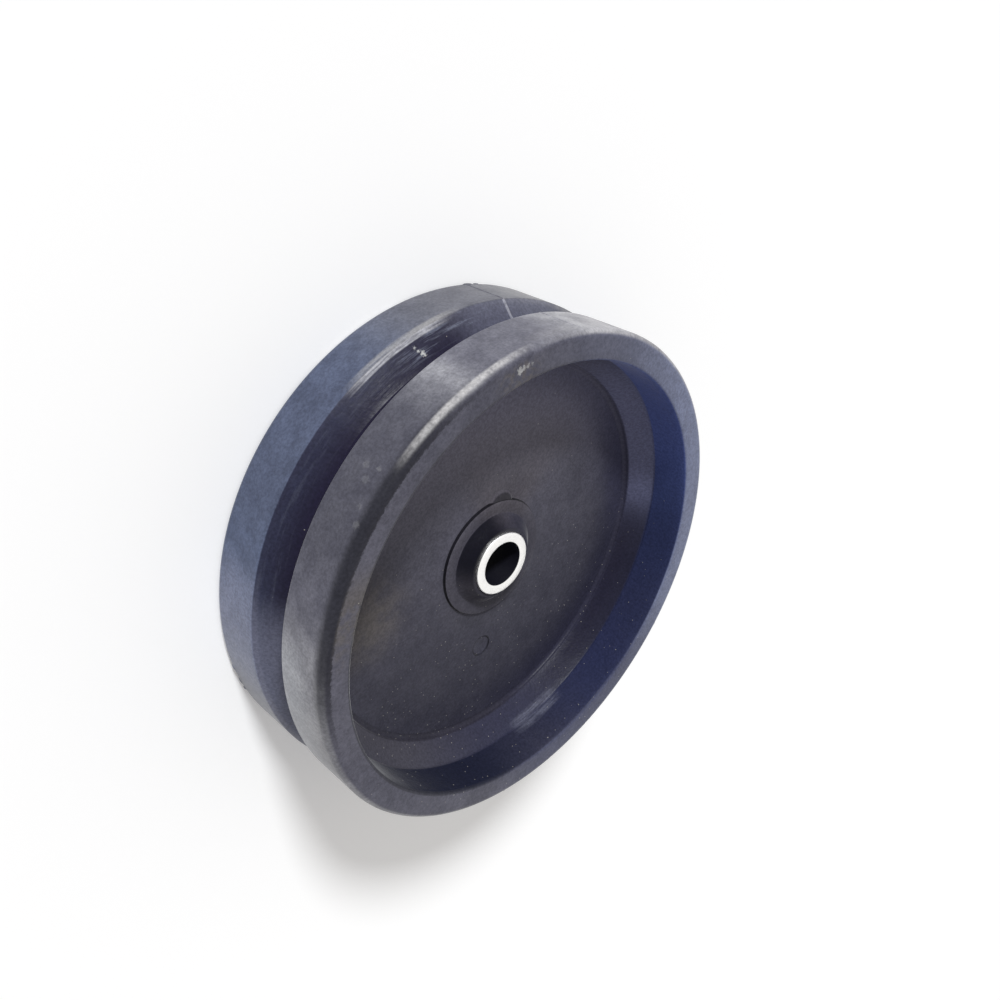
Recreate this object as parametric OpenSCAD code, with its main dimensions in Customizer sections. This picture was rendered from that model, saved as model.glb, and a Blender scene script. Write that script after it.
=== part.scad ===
// V groove wheel: a one-piece moulded wheel that turns on a short steel sleeve.
// The wheel axis is Z, the origin is the centre of the wheel, and it lies on its rear side face.

/* [Tread] */
// Diameter over the two tread bands
tread_d = 75; // [64:1:100]
// Width from side face to side face
wheel_w = 23.5; // [19:0.5:32]
// Rounding of the corner between tread and side face
corner_round = 1; // [0.6:0.1:1.6]

/* [V groove] */
// Width of the groove at its mouth
groove_w = 6.9; // [5:0.1:8.5]
// Angle between the two flanks
groove_angle = 90; // [80:1:100]
// Width of the flat at the root
root_flat = 0.6; // [0.4:0.1:1.2]
// Rounding of the two edges of the mouth
mouth_round = 0.3; // [0.1:0.05:0.6]

/* [Rim] */
// Thickness of the rim at its side faces
rim_wall = 4.2; // [3.4:0.1:5]
// Thickness of plastic under the root of the groove
root_wall = 3.85; // [3.2:0.05:4.6]
// Thickness kept beside the mouth of the groove, along the axis
flank_wall = 2; // [1.4:0.1:2.6]
// Draft of the inner wall of the rim, in degrees
draft = 2; // [0.5:0.5:4]
// Rounding of the lip and the shoulder inside the rim
edge_round = 0.4; // [0.2:0.1:0.7]

/* [Web] */
// Thickness of the web
web_t = 2.8; // [2:0.1:3.4]
// Height of the step where the web meets the rim
step_h = 0.75; // [0.5:0.05:1]
// Fillet at the foot of the step
step_fillet = 0.75; // [0.3:0.05:0.9]

/* [Hub] */
// Length of the plastic hub along the axis
hub_len = 7; // [6:0.1:9]
// Width of the flat land round the bore
land_w = 0.55; // [0.4:0.05:0.9]
// Radial width of the boss's taper
boss_flare = 1.8; // [1:0.1:2.4]
// Width of the disc that shows round the boss
disc_ledge = 1.9; // [1.2:0.1:3]
// Height of the disc above the web
disc_h = 0.4; // [0.3:0.05:0.7]

/* [Axle sleeve] */
// Outer diameter of the steel tube
sleeve_od = 10; // [8:0.5:12]
// Wall of the tube
sleeve_wall = 1.5; // [1:0.1:2]
// How far each end of the tube stands out of the boss
sleeve_proud = 0.4; // [0.2:0.05:0.8]
// Broken edge of the tube's cut ends
sleeve_chamfer = 0.1; // [0.05:0.05:0.25]
// Radial play between tube and wheel
running_clearance = 0.05; // [0.02:0.01:0.1]

/* [Mould marks] */
// Diameter of the sheared gate at the foot of the disc
gate_d = 4.9; // [3:0.1:6]
// How far the gate mark reaches out of the disc
gate_reach = 1.6; // [0.8:0.1:2.2]
// Direction of the gate mark, in degrees
gate_deg = 223; // [180:1:270]
// Diameter of the ejector pin's mark
pin_mark_d = 3.4; // [2:0.1:5]
// Depth of the ejector pin's mark
pin_mark_depth = 0.15; // [0.1:0.05:0.3]
// Distance from the axis to the ejector pin's mark
pin_mark_r = 16; // [14:0.5:18]
// Direction of the ejector pin's mark, in degrees
pin_mark_deg = 48; // [0:1:90]

/* [Hidden] */

$fn = 128;
least_steps = 3;         // straight pieces in the smallest rounded corners of the section
steps_per_mm = 6;        // and for each millimetre of rounding in the larger ones
crease = 0.12;           // smallest rounding, left by the mould's own edges
step_run = 0.15;         // slope of the step, out of upright
gate_slope = 0.5;        // how far the gate mark narrows from its foot to its top
sink = 0.5;              // how far a mark's solid starts inside the plastic

tread_r = tread_d / 2;
face_z = wheel_w / 2;
web_z = web_t / 2;
disc_z = web_z + disc_h;
hub_z = hub_len / 2;

groove_depth = (groove_w - root_flat) / 2 / tan(groove_angle / 2);
root_r = tread_r - groove_depth;

bore_r = sleeve_od / 2 + running_clearance;
boss_top_r = bore_r + land_w;
boss_foot_r = boss_top_r + boss_flare;
disc_r = boss_foot_r + disc_ledge;

lip_r = tread_r - rim_wall;
shoulder_z = groove_w / 2 + flank_wall;
shoulder_r = lip_r - (face_z - shoulder_z) * tan(draft);
crest_r = root_r - root_wall;
crest_z = web_z + step_h;

// Corners of the wheel's section above the middle plane, from the bore out to the groove.
// Each is [radius, height, rounding].
upper_corners = [
    [bore_r, hub_z, crease],
    [boss_top_r, hub_z, crease],
    [boss_foot_r, disc_z, crease],
    [disc_r, disc_z, crease],
    [disc_r, web_z, crease],
    [crest_r - step_run, web_z, step_fillet],
    [crest_r, crest_z, crease],
    [shoulder_r, shoulder_z, edge_round],
    [lip_r, face_z, edge_round],
    [tread_r, face_z, corner_round],
    [tread_r, groove_w / 2, mouth_round],
    [root_r, root_flat / 2, crease]
];

// The lower half mirrors the upper one, so the corners run on round the groove and back to the bore.
last_corner = len(upper_corners) - 1;
lower_corners = [
    for (i = [last_corner : -1 : 0])
        [upper_corners[i][0], -upper_corners[i][1], upper_corners[i][2]]
];
wheel_corners = concat(upper_corners, lower_corners);

function flat(corner) = [corner[0], corner[1]];
function towards(from, to) = (to - from) / norm(to - from);

// Points of the arc of radius r that rounds corner b between its neighbours a and c
function rounded(a, b, c, r) =
    let (
        to_a = towards(b, a),
        to_c = towards(b, c),
        half_angle = acos(to_a * to_c) / 2,
        centre = b + towards([0, 0], to_a + to_c) * r / sin(half_angle),
        start = b + to_a * r / tan(half_angle) - centre,
        first = atan2(start[1], start[0]),
        side = sign(to_a[0] * to_c[1] - to_a[1] * to_c[0]),
        turn = side * (180 - 2 * half_angle),
        steps = max(least_steps, ceil(steps_per_mm * r))
    )
    [
        for (i = [0 : steps])
            let (angle = first - turn * i / steps)
            centre + r * [cos(angle), sin(angle)]
    ];

// Outline through a closed list of [x, y, rounding] corners
function rounded_outline(corners) =
    let (count = len(corners))
    [
        for (i = [0 : count - 1])
            let (
                before = flat(corners[(i + count - 1) % count]),
                after = flat(corners[(i + 1) % count])
            )
            for (p = rounded(before, flat(corners[i]), after, corners[i][2])) p
    ];

// Low sheared stub where the plastic was fed into the mould, at the foot of the disc
module gate_mark() {
    foot_r = gate_d / 2;
    top_r = foot_r - gate_slope;
    widen = gate_slope / disc_h * sink;
    rotate([0, 0, gate_deg])
        translate([disc_r + gate_reach - foot_r, 0, web_z - sink])
            cylinder(h = disc_h * 0.9 + sink, r1 = foot_r + widen, r2 = top_r);
}

// Shallow round dent that an ejector pin left in the web
module pin_mark() {
    rotate([0, 0, pin_mark_deg])
        translate([pin_mark_r, 0, web_z - pin_mark_depth])
            cylinder(h = pin_mark_depth + sink, d = pin_mark_d);
}

// Rim, V groove, dished sides, web, disc and boss, moulded in one piece
module moulded_wheel() {
    color([0.27, 0.27, 0.32])
        difference() {
            union() {
                rotate_extrude() polygon(rounded_outline(wheel_corners));
                gate_mark();
            }
            pin_mark();
        }
}

// Steel tube that the bolt clamps and the wheel turns on
module axle_sleeve() {
    outer_r = sleeve_od / 2;
    inner_r = outer_r - sleeve_wall;
    end_z = hub_z + sleeve_proud;
    edge_z = end_z - sleeve_chamfer;
    color([0.82, 0.82, 0.80])
        rotate_extrude()
            polygon([
                [inner_r, -edge_z],
                [inner_r + sleeve_chamfer, -end_z],
                [outer_r - sleeve_chamfer, -end_z],
                [outer_r, -edge_z],
                [outer_r, edge_z],
                [outer_r - sleeve_chamfer, end_z],
                [inner_r + sleeve_chamfer, end_z],
                [inner_r, edge_z]
            ]);
}

moulded_wheel();
axle_sleeve();
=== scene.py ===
import math

import bmesh
import bpy
from mathutils import Matrix, Vector


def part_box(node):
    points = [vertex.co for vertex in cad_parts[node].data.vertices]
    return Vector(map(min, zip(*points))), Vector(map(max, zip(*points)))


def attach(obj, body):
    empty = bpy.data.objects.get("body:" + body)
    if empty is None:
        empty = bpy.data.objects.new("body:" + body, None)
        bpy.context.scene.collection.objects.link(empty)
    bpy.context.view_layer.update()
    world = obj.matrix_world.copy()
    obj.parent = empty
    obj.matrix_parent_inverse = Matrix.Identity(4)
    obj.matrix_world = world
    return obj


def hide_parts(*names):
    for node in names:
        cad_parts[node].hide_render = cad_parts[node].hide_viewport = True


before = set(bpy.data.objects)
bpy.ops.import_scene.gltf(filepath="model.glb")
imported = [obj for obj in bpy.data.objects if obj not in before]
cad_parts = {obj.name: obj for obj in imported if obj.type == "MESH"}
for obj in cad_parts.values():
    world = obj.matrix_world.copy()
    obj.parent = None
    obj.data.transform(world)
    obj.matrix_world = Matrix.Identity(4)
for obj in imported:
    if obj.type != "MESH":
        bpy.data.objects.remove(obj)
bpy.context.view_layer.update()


# Moulded wheel. One shot of charcoal plastic: V groove, dished sides, thin web, low disc and tapered
# boss. Half of it is drawn out from the root of the groove, its corners are rounded as the mould
# rounds them, and the mirrored half is its rear side.
mm = 0.001
wheel_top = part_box("moulded_wheel")[1]
tread_r, face_z = wheel_top.x, wheel_top.z
sleeve_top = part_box("axle_sleeve")[1]
columns = 512                 # faces round the wheel
corner_round = 1 * mm
edge_round = 0.4 * mm
crease = 0.12 * mm
groove_half = 3.45 * mm
root_half = 0.3 * mm
mouth_round = 0.3 * mm
root_r = tread_r - (groove_half - root_half)
lip_r = tread_r - 4.2 * mm
shoulder_z = groove_half + 2 * mm
shoulder_r = lip_r - (face_z - shoulder_z) * math.tan(math.radians(2))
crest_r = root_r - 3.85 * mm
web_z = 1.4 * mm
crest_z = web_z + 0.75 * mm
foot_r = crest_r - 0.15 * mm
step_fillet = 0.75 * mm
bore_r = sleeve_top.x + 0.05 * mm
hub_z = sleeve_top.z - 0.4 * mm
boss_top_r = bore_r + 0.55 * mm
boss_foot_r = boss_top_r + 1.8 * mm
disc_r = boss_foot_r + 1.9 * mm
disc_z = web_z + 0.4 * mm

# Corners of the upper half's section, from the root of the groove to the bore: radius, height,
# rounding, faces in the rounding, plain rings between this corner and the next, and how much of
# the grey film that handling leaves lies there.
section = [
    (root_r, 0, 0, 0, 0, 0),
    (root_r, root_half, crease, 2, 5, 0),
    (tread_r, groove_half, mouth_round, 4, 7, 0.9),
    (tread_r, face_z, corner_round, 6, 2, 0.9),
    (lip_r, face_z, edge_round, 3, 3, 0.85),
    (shoulder_r, shoulder_z, edge_round, 3, 2, 0.4),
    (crest_r, crest_z, crease, 2, 0, 0.75),
    (foot_r, web_z, step_fillet, 5, 5, 0.62),
    (disc_r, web_z, crease, 2, 0, 0.72),
    (disc_r, disc_z, crease, 2, 1, 0.7),
    (boss_foot_r, disc_z, crease, 2, 1, 0.5),
    (boss_top_r, hub_z, crease, 2, 0, 0.25),
    (bore_r, hub_z, crease, 2, 0, 0.2),
    (bore_r, 0, 0, 0, 0, 0.1),
]


def choose(*pieces):
    """Selects these objects and nothing else, and makes the last of them the active one."""
    bpy.ops.object.select_all(action="DESELECT")
    for piece in pieces:
        piece.select_set(True)
    bpy.context.view_layer.objects.active = pieces[-1]


def edit(piece):
    """Opens an object for editing."""
    choose(piece)
    bpy.ops.object.mode_set(mode="EDIT")


def done():
    """Closes the object that is being edited."""
    bpy.ops.object.mode_set(mode="OBJECT")


def pick(piece, kind, wanted):
    """Selects the VERT, EDGE or FACE elements that the test wants, and nothing else."""
    bpy.ops.mesh.select_mode(type=kind)
    bpy.ops.mesh.select_all(action="DESELECT")
    mesh = bmesh.from_edit_mesh(piece.data)
    for element in {"VERT": mesh.verts, "EDGE": mesh.edges, "FACE": mesh.faces}[kind]:
        if wanted(element):
            element.select_set(True)
    bmesh.update_edit_mesh(piece.data)


def radius_of(point):
    """How far a point is from the axle."""
    return math.hypot(point.x, point.y)


def on_ring(radius, height, slack=0.02 * mm):
    """A test for the edges of the ring at this radius and height."""
    def wanted(edge):
        return all(
            abs(radius_of(v.co) - radius) < slack and abs(v.co.z - height) < slack
            for v in edge.verts
        )
    return wanted


def draw_out(path):
    """Extrudes the picked cap from corner to corner of a path of (radius, height) pairs."""
    for (r0, z0), (r1, z1) in zip(path, path[1:]):
        bpy.ops.mesh.extrude_region_move(TRANSFORM_OT_translate={"value": (0, 0, z1 - z0)})
        bpy.ops.transform.resize(value=(r1 / r0, r1 / r0, 1), center_override=(0, 0, z1))


def round_corner(piece, before, corner, after, size, faces):
    """Bevels the ring at a corner of the section so that its arc has the given radius."""
    to_before = (Vector(before) - Vector(corner)).normalized()
    to_after = (Vector(after) - Vector(corner)).normalized()
    setback = size / math.tan(to_before.angle(to_after) / 2)
    pick(piece, "EDGE", on_ring(*corner))
    bpy.ops.mesh.bevel(offset=setback, segments=faces, profile=0.5, affect="EDGES")


def apply(piece, kind, **settings):
    """Adds a modifier, sets it and applies it."""
    choose(piece)
    modifier = piece.modifiers.new(kind.lower(), kind)
    for name, value in settings.items():
        setattr(modifier, name, value)
    bpy.ops.object.modifier_apply(modifier=modifier.name)


def polar(radius, degrees, height=0.0):
    """The point this far from the axle, in this direction and at this height."""
    angle = math.radians(degrees)
    return Vector((radius * math.cos(angle), radius * math.sin(angle), height))


bpy.ops.object.select_all(action="DESELECT")
bpy.ops.mesh.primitive_circle_add(vertices=columns, radius=root_r, fill_type="NGON")
wheel = bpy.context.object
wheel.name = "wheel_moulding"
edit(wheel)
pick(wheel, "FACE", lambda face: True)
path = []
for (r0, z0, _, _, rings, _), (r1, z1, *_) in zip(section, section[1:]):
    for i in range(rings + 1):
        share = i / (rings + 1)
        path.append((r0 + (r1 - r0) * share, z0 + (z1 - z0) * share))
path.append(section[-1][:2])
draw_out(path)
pick(wheel, "FACE", lambda face: len(face.verts) > 4)
bpy.ops.mesh.delete(type="FACE")
for before, corner, after in zip(section, section[1:], section[2:]):
    corner_r, corner_z, size, faces, *_ = corner
    round_corner(wheel, before[:2], (corner_r, corner_z), after[:2], size, faces)
done()
apply(wheel, "MIRROR", use_axis=(False, False, True), merge_threshold=0.001 * mm)

# Gate mark: the low sheared stub at the foot of the disc where the plastic ran in.
gate_deg = 223
gate_r = 2.45 * mm
gate_top_r = gate_r - 0.5 * mm
gate_rise = 0.36 * mm
sink = 0.5 * mm                       # how far its solid starts inside the web
gate_widen = (gate_r - gate_top_r) * sink / (disc_z - web_z)
gate_out = disc_r + 1.6 * mm - gate_r
bpy.ops.object.select_all(action="DESELECT")
bpy.ops.mesh.primitive_cone_add(
    vertices=64, radius1=gate_r + gate_widen, radius2=gate_top_r, depth=gate_rise + sink,
    location=polar(gate_out, gate_deg, web_z + (gate_rise - sink) / 2)
)
gate = bpy.context.object
edit(gate)
pick(gate, "EDGE", lambda edge: all(v.co.z > 0 for v in edge.verts))
bpy.ops.mesh.bevel(offset=0.1 * mm, segments=2, profile=0.5, affect="EDGES")
done()
apply(wheel, "BOOLEAN", operation="UNION", object=gate, solver="EXACT")

# Ejector pin's mark: a shallow round dent in the web, across the axis from the gate.
pin_mark_r = 1.7 * mm
pin_mark_depth = 0.15 * mm
pin_mark_out = 16 * mm
pin_mark_deg = 48
pin_length = 1 * mm
bpy.ops.object.select_all(action="DESELECT")
bpy.ops.mesh.primitive_cylinder_add(
    vertices=64, radius=pin_mark_r, depth=pin_length,
    location=polar(pin_mark_out, pin_mark_deg, web_z - pin_mark_depth + pin_length / 2)
)
pin = bpy.context.object
edit(pin)
pick(pin, "EDGE", lambda edge: all(v.co.z < 0 for v in edge.verts))
bpy.ops.mesh.bevel(offset=0.06 * mm, segments=2, profile=0.5, affect="EDGES")
done()
apply(wheel, "BOOLEAN", operation="DIFFERENCE", object=pin, solver="EXACT")
for tool in (gate, pin):
    bpy.data.objects.remove(tool)

# Parting lines: the slides that form the tread meet at two places and leave a low ridge there.
ridge_half = 0.14 * mm
ridge_rise = 0.1 * mm
parting_directions = (45, 225)
for parting_deg in parting_directions:
    outward = polar(1, parting_deg)
    sideways = polar(1, parting_deg + 90)

    def on_parting(point):
        on_tread = radius_of(point) > root_r - crease and abs(point.z) < face_z - crease
        return on_tread and abs(point.dot(sideways)) < 0.01 * mm and point.dot(outward) > 0

    edit(wheel)
    pick(wheel, "EDGE", lambda edge: all(on_parting(v.co) for v in edge.verts))
    bpy.ops.mesh.bevel(offset=ridge_half, segments=2, profile=0.5, affect="EDGES")
    pick(wheel, "VERT", lambda vert: on_parting(vert.co))
    bpy.ops.transform.translate(value=outward * ridge_rise)
    done()

# Small crumbs of flash stand out of the rim's edges. Each has a direction in degrees, and its height,
# half its length and its half thickness in millimetres.
crumb_list = [
    (224.5, -10.9, 0.9, 0.2), (221.8, -11, 0.5, 0.14), (101, 11, 0.45, 0.3), (107, 11.1, 0.35, 0.22),
    (-24, -11, 0.5, 0.14), (-19.5, -11, 0.7, 0.14), (-17, -11, 0.35, 0.18),
]
crumb_sink = 0.05 * mm
crumbs = []
for crumb_deg, crumb_z, half_length, half_thick in crumb_list:
    bpy.ops.object.select_all(action="DESELECT")
    bpy.ops.mesh.primitive_ico_sphere_add(
        subdivisions=2, radius=0.5 * mm, location=polar(tread_r - crumb_sink, crumb_deg, crumb_z * mm),
        rotation=(0, 0, math.radians(crumb_deg)), scale=(2 * half_thick, 2 * half_length, 0.7)
    )
    crumbs.append(bpy.context.object)
choose(*crumbs)
bpy.ops.object.join()
flash = bpy.context.object
apply(wheel, "BOOLEAN", operation="UNION", object=flash, solver="EXACT")
bpy.data.objects.remove(flash)

choose(wheel)
bpy.ops.object.shade_smooth_by_angle(angle=math.radians(35))


def film_at(point):
    """The film at a point of the wheel, from the nearest stretch of the section."""
    flat_point = Vector((radius_of(point), abs(point.z)))
    nearest, film = 1.0, 0.0
    for (r0, z0, _, _, _, film0), (r1, z1, _, _, _, film1) in zip(section, section[1:]):
        start, stretch = Vector((r0, z0)), Vector((r1 - r0, z1 - z0))
        share = min(max((flat_point - start).dot(stretch) / stretch.length_squared, 0), 1)
        gap = (start + stretch * share - flat_point).length
        if gap < nearest:
            nearest, film = gap, film0 + (film1 - film0) * share
    return film


film_layer = wheel.data.attributes.new("film", "FLOAT", "POINT")
film_layer.data.foreach_set("value", [film_at(vert.co) for vert in wheel.data.vertices])


def node(tree, kind, inputs=None, **settings):
    """Adds a shader node. An input is a value, or a socket to link from."""
    made = tree.nodes.new("ShaderNode" + kind)
    for name, value in settings.items():
        setattr(made, name, value)
    for name, value in (inputs or {}).items():
        if isinstance(value, bpy.types.NodeSocket):
            tree.links.new(value, made.inputs[name])
        else:
            made.inputs[name].default_value = value
    return made


def new_material(name):
    """A material with its Principled shader, its tree and its Object coordinates."""
    material = bpy.data.materials.new(name)
    material.use_nodes = True
    tree = material.node_tree
    shader = tree.nodes["Principled BSDF"]
    place = node(tree, "TexCoord").outputs["Object"]
    return material, tree, shader, place


def about_axle(tree, place):
    """A place in millimetres, its height, the same place laid flat, and how far it is from the axle."""
    spot = node(tree, "VectorMath", {0: place, "Scale": 1 / mm}, operation="SCALE").outputs[0]
    axes = node(tree, "SeparateXYZ", {0: spot}).outputs
    flat_spot = node(tree, "CombineXYZ", {"X": axes["X"], "Y": axes["Y"]}).outputs[0]
    radius = node(tree, "VectorMath", {0: flat_spot}, operation="LENGTH").outputs["Value"]
    return spot, axes["Z"], flat_spot, radius


def combine(tree, operation, *terms):
    """A Math node over values and sockets."""
    return node(tree, "Math", dict(enumerate(terms)), operation=operation).outputs[0]


def rise(tree, value, low, high, start=0.0, end=1.0):
    """Goes smoothly from start to end while the value goes from low to high."""
    limits = {"From Min": low, "From Max": high, "To Min": start, "To Max": end}
    made = node(tree, "MapRange", {"Value": value, **limits}, interpolation_type="SMOOTHSTEP")
    return made.outputs["Result"]


def noise(tree, where, scale, detail, roughness):
    """Cloudy noise from 0 to 1."""
    settings = {"Scale": scale, "Detail": detail, "Roughness": roughness}
    return node(tree, "TexNoise", {"Vector": where, **settings}).outputs["Fac"]


def over(tree, share, under, upper):
    """Lays one colour over another by a share. A colour is a socket, or its red, green and blue."""
    def filled(shade):
        return shade if isinstance(shade, bpy.types.NodeSocket) else (*shade, 1)

    colours = {6: filled(under), 7: filled(upper)}
    return node(tree, "Mix", {0: share, **colours}, data_type="RGBA").outputs[2]


def emboss(tree, shader, relief):
    """Gives the surface a relief in millimetres."""
    bumped = node(tree, "Bump", {"Strength": 1.0, "Distance": mm, "Height": relief})
    tree.links.new(bumped.outputs[0], shader.inputs["Normal"])


plastic, tree, shader, place = new_material("charcoal_plastic")
spot, height, flat_spot, radius = about_axle(tree, place)
depth = combine(tree, "ABSOLUTE", height)
around = node(tree, "VectorMath", {0: flat_spot}, operation="NORMALIZE").outputs[0]
film = node(tree, "Attribute", attribute_name="film").outputs["Fac"]

# Unevenness of four sizes: patches of film, blotches, the grain of the mould, and torn edges.
mottle = noise(tree, spot, 0.3, 3, 0.6)
blotch = noise(tree, spot, 1.1, 2, 0.6)
grain = noise(tree, spot, 2.6, 2, 0.7)
tear = combine(tree, "SUBTRACT", noise(tree, spot, 2.2, 2, 0.8), 0.5)


# Masks over the wheel, in millimetres and degrees. A mask is 1 where something lies and fades to 0
# beside it.
def times(*shares):
    """Multiplies masks and shares together."""
    product = shares[0]
    for share in shares[1:]:
        product = combine(tree, "MULTIPLY", product, share)
    return product


def most(*shares):
    """The largest of several masks."""
    largest = shares[0]
    for share in shares[1:]:
        largest = combine(tree, "MAXIMUM", largest, share)
    return largest


def within(value, low, high, soft):
    """1 while the value is between low and high, fading over soft on either side."""
    return times(rise(tree, value, low - soft, low), rise(tree, value, high + soft, high))


def along(where, degrees):
    """How far a place lies out from the axle in this direction."""
    made = node(tree, "VectorMath", {0: where, 1: polar(1, degrees)}, operation="DOT_PRODUCT")
    return made.outputs["Value"]


def towards(degrees, half_width):
    """1 on the side of the wheel that faces this way, fading out past the half width."""
    faded, full = math.cos(math.radians(1.5 * half_width)), math.cos(math.radians(half_width / 2))
    return rise(tree, along(around, degrees), faded, full)


def gap_to(centre):
    """The distance to a point."""
    return node(tree, "VectorMath", {0: spot, 1: centre}, operation="DISTANCE").outputs["Value"]


def close_to(centre, reach, ragged=0.0, soft=0.3):
    """1 at a point and 0 from its reach on, with a soft and ragged edge."""
    gap = combine(tree, "MULTIPLY_ADD", tear, ragged, gap_to(centre))
    return rise(tree, gap, reach, reach - soft)


def paint(under, area, *coats):
    """Lays shades over one area. A coat is the share that it covers the area with, and its shade."""
    for share, shade in coats:
        under = over(tree, times(area, share), under, shade)
    return under


# Where things lie: the two bands of the tread, the groove, the side faces, and the dish with its
# upright wall, its cone and its web.
tread_mm, root_mm, lip_mm, crest_mm = tread_r / mm, root_r / mm, lip_r / mm, crest_r / mm
face_mm, mouth_mm, shoulder_mm = face_z / mm, groove_half / mm, shoulder_z / mm
bore_mm, boss_mm, disc_mm, disc_top_mm = bore_r / mm, boss_foot_r / mm, disc_r / mm, disc_z / mm
front = rise(tree, height, -mouth_mm - 0.15, mouth_mm + 0.15)
rear = rise(tree, front, 1, 0)
tread = rise(tree, radius, tread_mm - 0.8, tread_mm - 0.3)
groove = times(within(depth, -1, mouth_mm - 0.15, 0.15), rise(tree, radius, root_mm - 0.75, root_mm - 0.15))
face = rise(tree, depth, face_mm - 0.25, face_mm - 0.05)
dish = times(rise(tree, radius, lip_mm - 0.3, lip_mm - 2.3), rise(tree, depth, 6, 4))
dish_wall = within(radius, lip_mm - 0.5, lip_mm, 0.4)
dish_wall = times(dish_wall, within(depth, shoulder_mm + 0.25, face_mm - 0.25, 0.5))
dish_cone = within(radius, crest_mm + 0.1, lip_mm - 0.2, 0.2)
dish_cone = times(dish_cone, within(depth, 2.1, shoulder_mm + 0.15, 0.2))
web = times(dish, rise(tree, depth, 2.4, 2.1))

# Fine lines that run round the wheel, left by the slides of the mould and by the rail.
ring_place = node(tree, "VectorMath", {0: around, "Scale": 7.0}, operation="SCALE").outputs[0]
lift = node(tree, "CombineXYZ", {"Z": times(height, 2.6)}).outputs[0]
line_place = node(tree, "VectorMath", {0: ring_place, 1: lift}, operation="ADD").outputs[0]
line_settings = {"Scale": 1.0, "Detail": 3.0, "Roughness": 0.65}
line_noise = node(tree, "TexNoise", {"Vector": line_place, "W": times(radius, 2.6), **line_settings},
                  noise_dimensions="4D")
lines = line_noise.outputs["Fac"]

# Grey film of handling and dust, bluish on the rear half, thin where the plastic is still clean. In
# the dish the film is painted paler towards the side where the rim's shadow falls and darker towards
# the other, painted light and painted shade.
patchy = times(rise(tree, mottle, 0.3, 0.7, 0.8, 1.12), rise(tree, blotch, 0.3, 0.7, 0.93, 1.07))
across = along(spot, -118)
dish_painted_light = over(tree, dish, (1, 1, 1), rise(tree, across, -26, 24, 0.66, 1.5))
film_and_painted_light_share = times(film, patchy, dish_painted_light)
film_colour = over(tree, dish, (0.098, 0.097, 0.126), (0.079, 0.070, 0.081))
rear_film = over(tree, towards(-140, 30), (0.086, 0.108, 0.176), (0.110, 0.112, 0.135))
film_colour = over(tree, front, rear_film, film_colour)
colour = over(tree, film_and_painted_light_share, (0.006, 0.006, 0.017), film_colour)
# Painted light: paler coats on the web where the rim's shadow falls.
colour = paint(
    colour, dish,
    (rise(tree, across, 7, 25, 0, 0.9), (0.160, 0.155, 0.200)),
    (times(towards(-155, 28), rise(tree, radius, 10, 18, 0, 0.3)), (0.160, 0.155, 0.200)),
    (times(towards(-157, 40), rise(tree, radius, 19, 25.5, 0, 0.45)), (0.160, 0.158, 0.225)),
)

# The upright wall of the dish is clean. It is painted near black on the side that the window lights,
# a painted shade, and a brighter blue on the side away from it, painted light over the plastic's own blue.
colour = paint(
    colour, dish_wall,
    (times(towards(38, 58), 0.8), (0.013, 0.012, 0.019)),
    (times(towards(18, 28), 0.9), (0.005, 0.005, 0.008)),
    (rise(tree, towards(170, 45), 0, 1, 0.05, 0.95), (0.080, 0.115, 0.325)),
    (times(towards(188, 32), 0.6), (0.100, 0.135, 0.375)),
)

# The cone below it is greyer, painted pale and bluish on one side, a painted light, and painted dark
# on the next, a painted shade.
cone_colour = over(tree, towards(150, 45), (0.054, 0.052, 0.066), (0.138, 0.146, 0.250))
cone_shade_side = times(most(towards(84, 48), towards(114, 24)), 0.95)
cone_colour = over(tree, cone_shade_side, cone_colour, (0.022, 0.023, 0.046))
cone_colour = over(tree, towards(105, 27), cone_colour, (0.007, 0.007, 0.020))
colour = over(tree, times(dish_cone, 0.85), colour, cone_colour)

# The outer part of the web is painted dark on one side, a painted shade, paler and bluish on the next,
# painted light where the rim's shadow falls, and darkest at the foot of the step, a painted shade in the
# crease.
foot_crease_shade = times(within(radius, crest_mm - 0.6, crest_mm, 0.4), rise(tree, towards(140, 75), 0, 1, 1, 0.25))
colour = paint(
    colour, web,
    (times(rise(tree, radius, 22.5, 29), towards(112, 55), 0.75), (0.018, 0.018, 0.037)),
    (times(rise(tree, radius, 23, 30), towards(182, 38), 0.62), (0.062, 0.062, 0.110)),
    (times(foot_crease_shade, rise(tree, mottle, 0.3, 0.7, 0.35, 0.7)), (0.016, 0.015, 0.022)),
)

# A stretch of the wall painted darker, a painted shade, and a pale streaky highlight of the window
# painted on the wall where it faces the window, broken up by the fine lines.
painted_glint_streaks = times(within(radius, lip_mm - 0.9, lip_mm, 0.3), within(depth, 4.9, 6.6, 0.8), towards(66.5, 7))
colour = paint(colour, dish_wall, (times(towards(110, 34), 0.9), (0.018, 0.022, 0.058)))
colour = over(tree, times(painted_glint_streaks, rise(tree, lines, 0.35, 0.65, 0.08, 0.55)), colour, (0.13, 0.135, 0.180))

# The side faces are darker and bluer on one side, a little paler across from it, and paler and
# bluish in mottled patches in between.
colour = paint(
    colour, face,
    (times(towards(90, 36), 0.7), (0.064, 0.071, 0.125)),
    (times(towards(-50, 30), 0.2), (0.160, 0.155, 0.190)),
    (times(towards(-172, 34), 0.4), (0.125, 0.137, 0.205)),
    (times(towards(153, 42), rise(tree, mottle, 0.3, 0.7, 0.65, 0.95)), (0.178, 0.200, 0.300)),
)
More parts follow.
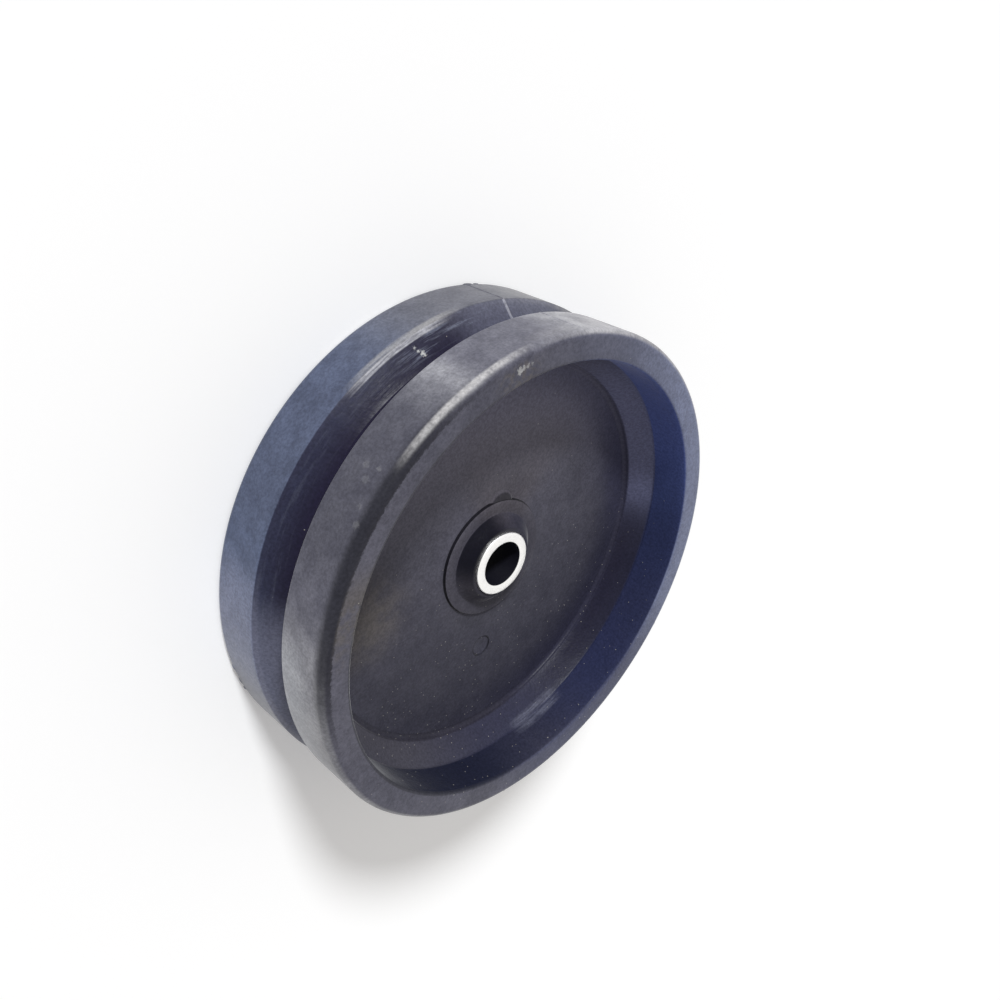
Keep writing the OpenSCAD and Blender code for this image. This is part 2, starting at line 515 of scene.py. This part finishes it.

# Pale scuffing in mottled patches on the bands. It is left off where they face the window, and
# there the bands are painted dark, a painted shade. On one side the front band's scuffing is paler,
# partly a painted highlight. The rear band is paler in two places, and the front band carries two
# painted highlights.
front_shade_side = most(towards(-75, 24), times(towards(-119, 11), 0.8))
band_shade_side = over(tree, front, towards(-93, 42), front_shade_side)
scuff_and_shade_share = times(rise(tree, band_shade_side, 0, 1, 1, 0.08), rise(tree, mottle, 0.3, 0.7, 0.3, 0.68))
rear_scuff = over(tree, towards(-140, 30), (0.205, 0.215, 0.300), (0.205, 0.200, 0.205))
front_scuff_and_highlight = over(tree, towards(-160, 20), (0.370, 0.370, 0.390), (0.480, 0.470, 0.480))
band_shade_share = times(towards(-82, 18), rise(tree, front, 0, 1, 0.3, 0.68))
colour = paint(colour, tread, (band_shade_share, (0.040, 0.040, 0.055)))
colour = over(tree, times(tread, scuff_and_shade_share), colour, over(tree, front, rear_scuff, front_scuff_and_highlight))
colour = paint(
    colour, times(tread, rear),
    (times(towards(-8, 16), 0.5), (0.30, 0.30, 0.31)),
    (times(towards(-38, 12), 0.35), (0.25, 0.27, 0.37)),
)
# Painted highlights on the front band: one along the mouth of the groove, and a faint one near the corner.
colour = paint(
    colour, times(tread, front),
    (times(rise(tree, height, 10, 5, 0, 0.38), towards(-29, 14)), (0.52, 0.54, 0.58)),
    (times(rise(tree, height, 8, 10, 0, 0.11), towards(-133, 9)), (0.55, 0.54, 0.54)),
)

# The groove is clean, and painted dark along the side that the window lights, a painted shade. It is
# paler to either side of that, partly dust and partly a painted highlight, and its fine lines are
# painted pale where they face the window, partly a painted highlight. The rail has worn the rear edge
# of its mouth and of the band beside it, and both are painted pale there, partly a painted highlight.
groove_dust_and_highlight = times(most(towards(-24, 18), times(towards(-137, 14), 0.55)), 0.7)
line_share = times(rise(tree, lines, 0.5, 0.7, 0, 0.5), rise(tree, towards(246, 9), 0, 1, 0.12, 0.8))
colour = paint(
    colour, groove,
    (times(towards(-84, 44), 0.8), (0.011, 0.009, 0.024)),
    (groove_dust_and_highlight, (0.135, 0.140, 0.195)),
    (times(line_share, rise(tree, radius, root_mm + 0.25, root_mm + 1.25)), (0.22, 0.24, 0.31)),
)
worn_side = towards(254, 10)
worn_edge_highlight = times(within(radius, tread_mm - 0.55, tread_mm - 0.2, 0.15), rise(tree, height, 0, -2), worn_side)
worn_band_highlight = times(rise(tree, radius, tread_mm - 0.3, tread_mm - 0.1), towards(252, 11))
worn_band_highlight = times(worn_band_highlight, within(height, -mouth_mm - 0.55, -mouth_mm + 0.05, 0.5))
colour = paint(colour, worn_band_highlight, (rise(tree, lines, 0.3, 0.6, 0.2, 0.5), (0.36, 0.35, 0.34)))
colour = paint(colour, worn_edge_highlight, (rise(tree, lines, 0.35, 0.6, 0.3, 0.9), (0.38, 0.38, 0.41)))

# The rounded corner of the rim is worn by rubbing in one place and carries a painted highlight there,
# and is painted dark beside it, a painted shade. The lip of the dish is painted dark on one side, a
# painted shade over its catch-light.
ragged_radius = combine(tree, "MULTIPLY_ADD", tear, 0.9, radius)
corner = times(rise(tree, ragged_radius, tread_mm - 1.5, tread_mm - 1.15), front)
corner = times(corner, rise(tree, depth, face_mm - 2.25, face_mm - 0.55))
rubbed_highlight = times(within(depth, face_mm - 0.95, face_mm - 0.6, 0.5), front, towards(-103, 13))
rubbed_highlight = times(rubbed_highlight, rise(tree, radius, tread_mm - 1, tread_mm - 0.6))
rubbed_highlight = times(rubbed_highlight, rise(tree, blotch, 0.2, 0.65, 0.35, 0.78))
lip = within(radius, lip_mm - 0.15, lip_mm + 0.3, 0.2)
lip = times(lip, rise(tree, depth, face_mm - 0.65, face_mm - 0.45))
colour = paint(colour, corner, (times(towards(-66, 32), 0.85), (0.012, 0.012, 0.017)))
colour = over(tree, rubbed_highlight, colour, (0.44, 0.43, 0.43))
colour = paint(colour, lip, (times(towards(-40, 70), 0.75), (0.030, 0.030, 0.038)))

# Painted dark: the foot of the disc, a painted shade at its step; the top of the sheared gate; one side
# of the boss, a painted shade; and the taper of the boss, a painted shade over its highlight.
disc_foot = within(radius, disc_mm - 0.03, disc_mm + 0.12, 0.05)
disc_foot = times(disc_foot, within(depth, disc_top_mm - 0.5, disc_top_mm - 0.02, 0.05))
gate_top = close_to(polar(gate_out / mm, gate_deg, 1.7), 2.25)
gate_top = times(gate_top, rise(tree, radius, disc_mm, disc_mm + 0.12), rise(tree, height, 0, 1))
boss = within(radius, bore_mm + 0.05, boss_mm - 0.1, 0.1)
boss_taper = within(radius, bore_mm + 0.15, boss_mm - 0.1, 0.15)
boss_taper = times(boss_taper, rise(tree, depth, disc_top_mm, disc_top_mm + 0.15))
colour = over(tree, times(disc_foot, 0.9), colour, (0.003, 0.003, 0.005))
colour = over(tree, times(gate_top, 0.85), colour, (0.022, 0.021, 0.027))
colour = paint(colour, boss, (times(towards(-82, 46), 0.95), (0.002, 0.002, 0.006)))
colour = paint(colour, boss_taper, (times(towards(125, 80), 0.8), (0.028, 0.028, 0.044)))


# The parting ridge is torn pale where it crosses the groove.
def ridge_at(degrees):
    """1 on the ridge that lies in this direction."""
    aside = combine(tree, "ABSOLUTE", along(spot, degrees + 90))
    return times(rise(tree, aside, 0.32, 0.15), towards(degrees, 20))


torn = times(most(*[ridge_at(degrees) for degrees in parting_directions]), groove)
torn = times(torn, rise(tree, radius, root_mm + 0.75, root_mm + 1.15), rise(tree, blotch, 0.3, 0.6, 0.5, 0.9))
colour = over(tree, times(torn, 0.5), colour, (0.38, 0.38, 0.42))

# The ejector pin's mark has a dark edge.
pin_gap = gap_to(polar(pin_mark_out / mm, pin_mark_deg, 1.3))
pin_edge = times(within(pin_gap, 1.6, 1.75, 0.12), rise(tree, height, 0, 1))
colour = over(tree, times(pin_edge, rise(tree, blotch, 0.3, 0.6, 0.3, 0.8)), colour, (0.012, 0.012, 0.016))

# Brownish stains: on the web, on the wall and on the face beside the rim's corner.
web_stain = times(close_to(polar(23.5, -36, 1.4), 10, 0, 8), rise(tree, mottle, 0.34, 0.62, 0.2, 0.65))
wall_stain = times(close_to(polar(33, -55, 9), 9, 0, 6), rise(tree, mottle, 0.34, 0.58, 0, 0.7))
face_stain = times(close_to(polar(34.5, -116, 11.7), 5, 0, 3.5), rise(tree, blotch, 0.4, 0.65, 0, 0.5))
stain = combine(tree, "ADD", combine(tree, "ADD", web_stain, wall_stain), face_stain)
stain = times(stain, rise(tree, height, 0.5, 1.3), rise(tree, radius, tread_mm - 0.9, tread_mm - 1.5))
colour = over(tree, stain, colour, (0.114, 0.101, 0.091))

# Pale nicks: on the front band, in the groove, and a torn end of flash on the side face. Each has a
# radius, a direction, a height, a reach and how pale it is.
nicks = [
    (37.5, -82.8, 6.8, 0.6, 0.09), (37.5, -83.2, 8.9, 0.5, 0.12), (37.5, -80.6, 7.9, 0.7, 0.07),
    (37.5, -73, 10.2, 0.6, 0.11), (37.5, -76, 9.3, 0.45, 0.08), (35.45, -109.7, -1.4, 0.42, 1),
    (35.9, -109.2, -1.85, 0.33, 0.8), (36.3, -108.8, -2.25, 0.3, 0.6), (35.4, -116.2, 11.7, 0.6, 0.8),
    (35.5, -117.4, 11.7, 0.45, 0.7), (35.55, -118.5, 11.7, 0.4, 0.6), (35.6, -119.6, 11.7, 0.35, 0.4),
]
nicked = most(*[
    times(close_to(polar(nick_r, nick_deg, nick_z), reach, 1.2), paleness)
    for nick_r, nick_deg, nick_z, reach, paleness in nicks
])
colour = over(tree, nicked, colour, (0.41, 0.41, 0.41))

# Dust: pale specks that gather in the lower half of the dish, most of all at the edge of the web.
cells = node(tree, "TexVoronoi", {"Vector": spot, "Scale": 1.25, "Randomness": 1.0})
lot = node(tree, "SeparateColor", {0: cells.outputs["Color"]}).outputs[0]
dusty = combine(tree, "ADD", rise(tree, depth, 6, 1, 0.02, 0.1), times(towards(60, 60), 0.4))
swept = times(within(radius, 28, 30.6, 2), dish, towards(24, 26))
dusty = combine(tree, "MULTIPLY_ADD", swept, 0.8, dusty)
speck_reach = combine(tree, "MULTIPLY_ADD", blotch, 0.2, 0.03)
speck = rise(tree, cells.outputs["Distance"], speck_reach, 0.02)
speck = times(speck, combine(tree, "LESS_THAN", lot, dusty))
speck = times(speck, rise(tree, radius, tread_mm - 0.5, tread_mm - 1.5))
colour = over(tree, times(speck, 0.5), colour, (0.62, 0.58, 0.50))

grained = node(tree, "HueSaturation", {"Color": colour, "Value": rise(tree, grain, 0.25, 0.75, 0.8, 1.2)})
tree.links.new(grained.outputs[0], shader.inputs["Base Color"])
shader.inputs["Specular IOR Level"].default_value = 0.08
shader.inputs["Sheen Weight"].default_value = 0.3
shader.inputs["Sheen Roughness"].default_value = 0.3
satin = rise(tree, film_and_painted_light_share, 0, 1, 0.32, 0.42)
satin = combine(tree, "ADD", satin, rise(tree, blotch, 0.3, 0.7, -0.04, 0.04))
tree.links.new(satin, shader.inputs["Roughness"])

# Relief: moulded grain, finer outside the dish and smoothed where the corner is worn by rubbing and its
# highlight is painted, shallow waves, the lines in the groove and on the wall of the dish, nicks and specks.
relief = times(grain, rise(tree, radius, lip_mm + 0.2, lip_mm + 0.7, 0.025, 0.012))
relief = times(relief, rise(tree, rubbed_highlight, 0, 0.5, 1, 0.3))
relief = combine(tree, "MULTIPLY_ADD", mottle, 0.08, relief)
relief = combine(tree, "MULTIPLY_ADD", times(lines, groove, worn_side), 0.03, relief)
relief = combine(tree, "MULTIPLY_ADD", times(lines, dish_wall), 0.02, relief)
relief = combine(tree, "MULTIPLY_ADD", times(nicked, blotch), 0.12, relief)
relief = combine(tree, "MULTIPLY_ADD", speck, 0.04, relief)
emboss(tree, shader, relief)
wheel.data.materials.clear()
wheel.data.materials.append(plastic)
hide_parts("moulded_wheel")
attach(wheel, "wheel")


# Axle sleeve. A short length of steel tube, sawn off and lightly deburred, a hair longer than the
# boss. The bolt clamps it and the plastic turns round it.
sleeve_r, sleeve_z = sleeve_top.x, sleeve_top.z
tube_bore_r = sleeve_r - 1.5 * mm
bpy.ops.object.select_all(action="DESELECT")
bpy.ops.mesh.primitive_cylinder_add(vertices=128, radius=sleeve_r, depth=2 * sleeve_z)
sleeve = bpy.context.object
sleeve.name = "steel_sleeve"
edit(sleeve)
pick(sleeve, "FACE", lambda face: len(face.verts) > 4)
bpy.ops.mesh.inset(thickness=sleeve_r - tube_bore_r, use_individual=True)
bpy.ops.mesh.bridge_edge_loops()
for edge_r, broken_edge in ((sleeve_r, 0.2 * mm), (tube_bore_r, 0.1 * mm)):
    pick(sleeve, "EDGE", lambda edge: on_ring(edge_r, sleeve_z)(edge) or on_ring(edge_r, -sleeve_z)(edge))
    bpy.ops.mesh.bevel(offset=broken_edge, segments=3, profile=0.5, affect="EDGES")
done()
bpy.ops.object.shade_smooth_by_angle(angle=math.radians(30))
steel, tree, shader, place = new_material("sawn_steel")
spot, _, _, radius = about_axle(tree, place)
saw_turn = (0, 0, math.radians(25))
saw_place = node(tree, "Mapping", {"Vector": spot, "Rotation": saw_turn, "Scale": (0.6, 9, 3)})
saw_lines = noise(tree, saw_place.outputs[0], 1, 3, 0.6)
pits = noise(tree, spot, 4, 2, 0.6)
scale_skin = rise(tree, radius, 3.58, 3.52)
bright_steel = over(tree, rise(tree, pits, 0.35, 0.7, 0, 0.3), (0.96, 0.95, 0.93), (0.80, 0.78, 0.74))
tree.links.new(over(tree, scale_skin, bright_steel, (0.007, 0.007, 0.011)), shader.inputs["Base Color"])
tree.links.new(rise(tree, scale_skin, 0, 1, 1, 0), shader.inputs["Metallic"])
tree.links.new(rise(tree, pits, 0.3, 0.7, 0.3, 0.45), shader.inputs["Roughness"])
shader.inputs["Specular IOR Level"].default_value = 0.2
relief = combine(tree, "MULTIPLY_ADD", saw_lines, 0.03, combine(tree, "MULTIPLY", pits, 0.02))
emboss(tree, shader, relief)
sleeve.data.materials.clear()
sleeve.data.materials.append(steel)
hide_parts("axle_sleeve")
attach(sleeve, "sleeve")


# Floor. A plain white surface under the wheel, with the wheel's own shadow on it.
bpy.ops.object.select_all(action="DESELECT")
bpy.ops.mesh.primitive_plane_add(size=6, location=(0, 0, -face_z))
floor = bpy.context.object
floor.name = "floor"
paper, tree, shader, place = new_material("white_floor")
tree.nodes.remove(shader)


def seen_sharply(tree):
    """1 for the rays that show the white room itself: to the camera, off gloss and through glass."""
    ray = node(tree, "LightPath").outputs
    direct = combine(tree, "MAXIMUM", ray["Is Camera Ray"], ray["Is Glossy Ray"])
    return combine(tree, "MAXIMUM", direct, ray["Is Transmission Ray"])


plain = node(tree, "BsdfDiffuse", {"Color": (0.8, 0.8, 0.8, 1)})
bright = node(tree, "BsdfDiffuse", {"Color": (0.95, 0.95, 0.95, 1)})
glow = node(tree, "Emission", {"Color": (1, 1, 1, 1), "Strength": 0.13})
lit = node(tree, "AddShader", {0: bright.outputs[0], 1: glow.outputs[0]})
paper_mix = node(tree, "MixShader", {0: seen_sharply(tree), 1: plain.outputs[0], 2: lit.outputs[0]})
tree.links.new(paper_mix.outputs[0], tree.nodes["Material Output"].inputs["Surface"])
floor.data.materials.append(paper)


# Light. A low soft window over the gate side throws the shadow, and the white room fills the rest.
window_direction = Vector((-0.38, -0.815, 0.438))
window = bpy.data.objects.new("window", bpy.data.lights.new("window", "SUN"))
bpy.context.scene.collection.objects.link(window)
window.data.energy = 3.3
window.data.color = (0.98, 1, 1.02)
window.data.angle = math.radians(10)
window.rotation_euler = window_direction.to_track_quat("Z", "Y").to_euler()

room = bpy.data.worlds.new("white_room")
bpy.context.scene.world = room
room.use_nodes = True
tree = room.node_tree
dim = node(tree, "Background", {"Color": (1, 0.975, 0.955, 1), "Strength": 0.48})
white = node(tree, "Background", {"Color": (1, 1, 1, 1), "Strength": 1})
room_mix = node(tree, "MixShader", {0: seen_sharply(tree), 1: dim.outputs[0], 2: white.outputs[0]})
tree.links.new(room_mix.outputs[0], tree.nodes["World Output"].inputs["Surface"])


# Camera. Hand-held over the wheel and turned, so that the axle points to the lower right.
camera_place = Vector((19.72, -116.59, 87.33)) * mm
camera_azimuth = math.radians(13.47)
camera_tilt = math.radians(37.2)
camera_roll = math.radians(119.0)
camera = bpy.data.objects.new("camera", bpy.data.cameras.new("camera"))
bpy.context.scene.collection.objects.link(camera)
camera.data.sensor_width = 36
camera.data.lens = 35.55
camera.data.clip_start = 5 * mm
camera.matrix_world = (
    Matrix.Translation(camera_place)
    @ Matrix.Rotation(camera_azimuth, 4, "Z")
    @ Matrix.Rotation(math.pi / 2 - camera_tilt, 4, "X")
    @ Matrix.Rotation(camera_roll, 4, "Z")
)
bpy.context.scene.camera = camera
bpy.context.scene.view_settings.view_transform = "Standard"
